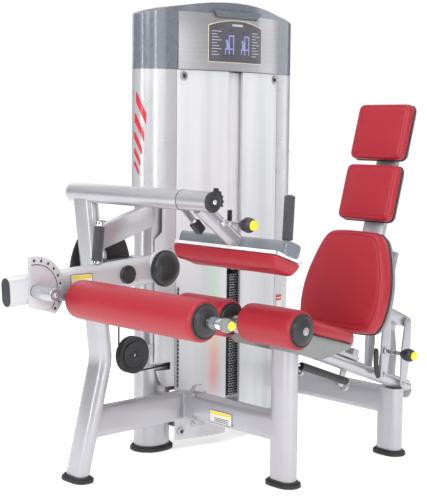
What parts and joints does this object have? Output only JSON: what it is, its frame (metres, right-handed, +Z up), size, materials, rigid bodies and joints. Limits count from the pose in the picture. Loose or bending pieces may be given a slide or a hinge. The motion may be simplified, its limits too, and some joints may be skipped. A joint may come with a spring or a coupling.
{
  "type": "leg extension machine",
  "caption": "Seated leg extension machine: padded seat and adjustable back, swinging ankle and thigh pads, lever with cam, cable and shrouded weight-stack tower.",
  "frame": {"origin": "on the floor, under the knee axis, in the middle plane of the seat", "axes": "+Z up, +X towards the back of the seated user, +Y towards the weight-stack tower"},
  "size_m": [1.3893, 1.0063, 1.52],
  "materials": {
    "left_column": "satin silver paint",
    "right_column": "satin silver paint",
    "top_crossbeam": "satin silver paint",
    "bottom_crossbeam": "satin silver paint",
    "left_leg": "satin silver paint",
    "boom_tube": "satin silver paint",
    "leg_brace": "satin silver paint",
    "left_base_beam": "satin silver paint",
    "front_leg": "satin silver paint",
    "rear_leg": "satin silver paint",
    "seat_rail": "satin silver paint",
    "pivot_housing": "satin silver paint",
    "foot_left": "moulded rubber",
    "foot_front": "moulded rubber",
    "foot_rear": "moulded rubber",
    "foot_column_left": "moulded rubber",
    "foot_column_right": "moulded rubber",
    "left_shell": "satin silver paint",
    "right_shell": "satin silver paint",
    "top_cap": "moulded slate grey",
    "cap_front_plate": "light metallic paint",
    "left_cover": "frosted pale sheet",
    "right_cover": "frosted pale sheet",
    "rear_cover": "frosted pale sheet",
    "guide_rod_left": "polished",
    "guide_rod_right": "polished",
    "resting_plates": "black coated",
    "drive_cable": "coated steel cable",
    "knee_shaft": "polished",
    "gas_spring_rod": "polished",
    "lever_arm": "satin silver paint",
    "pivot_shaft": "polished",
    "cam": "moulded",
    "lever_grip": "foam sleeve",
    "ankle_arm": "dark grey paint",
    "ankle_pad": "red upholstery",
    "ankle_knob": "moulded",
    "knee_pad_near": "red upholstery",
    "knee_pad_far": "red upholstery",
    "thigh_arm": "satin silver paint",
    "thigh_cushion": "red upholstery",
    "thigh_grip": "foam sleeve",
    "thigh_knob": "moulded",
    "seat_carriage": "satin silver paint",
    "seat_pan": "moulded grey",
    "seat_cushion": "red upholstery",
    "gas_spring_cylinder": "black paint",
    "back_front_link": "satin silver paint",
    "back_rear_link": "satin silver paint",
    "back_frame": "satin silver paint",
    "back_cushion": "red upholstery",
    "mid_cushion": "red upholstery",
    "head_cushion": "red upholstery",
    "back_knob": "moulded",
    "lifted_plates": "black coated",
    "stack_cable": "coated steel cable",
    "selector_pin": "moulded",
    "lower_pulley": "moulded",
    "idler_pulley": "moulded",
    "top_pulley": "moulded"
  },
  "bodies": {
    "frame": {"left_column": "left_column", "right_column": "right_column", "top_crossbeam": "top_crossbeam", "bottom_crossbeam": "bottom_crossbeam", "left_leg": "left_leg", "boom_tube": "boom_tube", "leg_brace": "leg_brace", "left_base_beam": "left_base_beam", "front_leg": "front_leg", "rear_leg": "rear_leg", "seat_rail": "seat_rail", "pivot_housing": "pivot_housing", "foot_left": "foot_left", "foot_front": "foot_front", "foot_rear": "foot_rear", "foot_column_left": "foot_column_left", "foot_column_right": "foot_column_right", "left_shell": "left_shell", "right_shell": "right_shell", "top_cap": "top_cap", "cap_front_plate": "cap_front_plate", "left_cover": "left_cover", "right_cover": "right_cover", "rear_cover": "rear_cover", "guide_rod_left": "guide_rod_left", "guide_rod_right": "guide_rod_right", "resting_plates": "resting_plates", "drive_cable": "drive_cable", "knee_shaft": "knee_shaft", "gas_spring_rod": "gas_spring_rod"},
    "lever": {"lever_arm": "lever_arm", "pivot_shaft": "pivot_shaft", "cam": "cam", "lever_grip": "lever_grip"},
    "ankle": {"ankle_arm": "ankle_arm"},
    "ankle_roller": {"ankle_pad": "ankle_pad"},
    "ankle_release": {"ankle_knob": "ankle_knob"},
    "near_roller": {"knee_pad_near": "knee_pad_near"},
    "far_roller": {"knee_pad_far": "knee_pad_far"},
    "thigh_hold": {"thigh_arm": "thigh_arm", "thigh_cushion": "thigh_cushion", "thigh_grip": "thigh_grip"},
    "thigh_release": {"thigh_knob": "thigh_knob"},
    "seat": {"seat_carriage": "seat_carriage", "seat_pan": "seat_pan", "seat_cushion": "seat_cushion", "gas_spring_cylinder": "gas_spring_cylinder"},
    "front_links": {"back_front_link": "back_front_link"},
    "rear_links": {"back_rear_link": "back_rear_link"},
    "backrest": {"back_frame": "back_frame", "back_cushion": "back_cushion", "mid_cushion": "mid_cushion", "head_cushion": "head_cushion"},
    "back_release": {"back_knob": "back_knob"},
    "moving_stack": {"lifted_plates": "lifted_plates", "stack_cable": "stack_cable"},
    "pin": {"selector_pin": "selector_pin"},
    "pulley_low": {"lower_pulley": "lower_pulley"},
    "pulley_idler": {"idler_pulley": "idler_pulley"},
    "pulley_top": {"top_pulley": "top_pulley"}
  },
  "joints": [
    {"name": "lever_swing", "type": "hinge", "parent": "frame", "child": "lever", "pos_m": [0, 0.3625, 0.657], "axis": [0, -1, 0], "range_deg": [0, 90]},
    {"name": "ankle_arm_swing", "type": "hinge", "parent": "lever", "child": "ankle", "pos_m": [-0.489, 0.33, 0.627], "axis": [0, -1, 0], "range_deg": [-12, 60]},
    {"name": "ankle_pad_spin", "type": "hinge", "parent": "ankle", "child": "ankle_roller", "pos_m": [-0.36, 0, 0.598], "axis": [0, 1, 0], "continuous": true},
    {"name": "ankle_knob_pull", "type": "slide", "parent": "ankle", "child": "ankle_release", "axis": [0, -1, 0], "range_m": [0, 0.01], "stiffness_N_per_m": 800},
    {"name": "knee_pad_near_spin", "type": "hinge", "parent": "frame", "child": "near_roller", "pos_m": [0, 0, 0.535], "axis": [0, 1, 0], "continuous": true},
    {"name": "knee_pad_far_spin", "type": "hinge", "parent": "frame", "child": "far_roller", "pos_m": [0, 0, 0.535], "axis": [0, 1, 0], "continuous": true},
    {"name": "thigh_swing", "type": "hinge", "parent": "frame", "child": "thigh_hold", "pos_m": [-0.218, 0, 0.895], "axis": [0, -1, 0], "range_deg": [-8, 45]},
    {"name": "thigh_knob_pull", "type": "slide", "parent": "thigh_hold", "child": "thigh_release", "axis": [0, -1, 0], "range_m": [0, 0.01], "stiffness_N_per_m": 800},
    {"name": "seat_slide", "type": "slide", "parent": "frame", "child": "seat", "axis": [0.9392, 0, -0.3433], "range_m": [0, 0.04]},
    {"name": "back_link_swing", "type": "hinge", "parent": "frame", "child": "front_links", "pos_m": [0.634, 0, 0.293], "axis": [0, 1, 0], "range_deg": [0, 25]},
    {"name": "back_rear_link_swing", "type": "hinge", "parent": "frame", "child": "rear_links", "pos_m": [0.741, 0, 0.247], "axis": [0, 1, 0], "range_deg": [0, 25]},
    {"name": "back_level", "type": "hinge", "parent": "front_links", "child": "backrest", "pos_m": [0.652, 0, 0.501], "axis": [0, 1, 0], "range_deg": [-25, 0]},
    {"name": "back_knob_pull", "type": "slide", "parent": "front_links", "child": "back_release", "axis": [0, -1, 0], "range_m": [0, 0.01], "stiffness_N_per_m": 800},
    {"name": "stack_lift", "type": "slide", "parent": "frame", "child": "moving_stack", "axis": [0, 0, 1], "range_m": [0, 0.33], "deforming": ["stack_cable"]},
    {"name": "selector_pin_pull", "type": "slide", "parent": "moving_stack", "child": "pin", "axis": [0, -1, 0], "range_m": [0, 0.045]},
    {"name": "lower_pulley_spin", "type": "hinge", "parent": "frame", "child": "pulley_low", "pos_m": [0.03, 0.533, 0.351], "axis": [0, 1, 0], "range_deg": [-340, 340]},
    {"name": "idler_pulley_spin", "type": "hinge", "parent": "frame", "child": "pulley_idler", "pos_m": [0.2552, 0.5485, 0.331], "axis": [0, 1, 0], "range_deg": [-600, 600]},
    {"name": "top_pulley_spin", "type": "hinge", "parent": "frame", "child": "pulley_top", "pos_m": [0.3739, 0.58, 1.4195], "axis": [0, 1, 0], "range_deg": [-250, 250]}
  ],
  "couplings": [
    {"joint": "back_rear_link_swing", "follows": "back_link_swing", "ratio": 1},
    {"joint": "back_level", "follows": "back_link_swing", "ratio": -1},
    {"joint": "stack_lift", "follows": "lever_swing", "m_per_rad": 0.205},
    {"joint": "lower_pulley_spin", "follows": "lever_swing", "ratio": -3.559},
    {"joint": "idler_pulley_spin", "follows": "lever_swing", "ratio": -5.452},
    {"joint": "top_pulley_spin", "follows": "lever_swing", "ratio": -2.528}
  ]
}
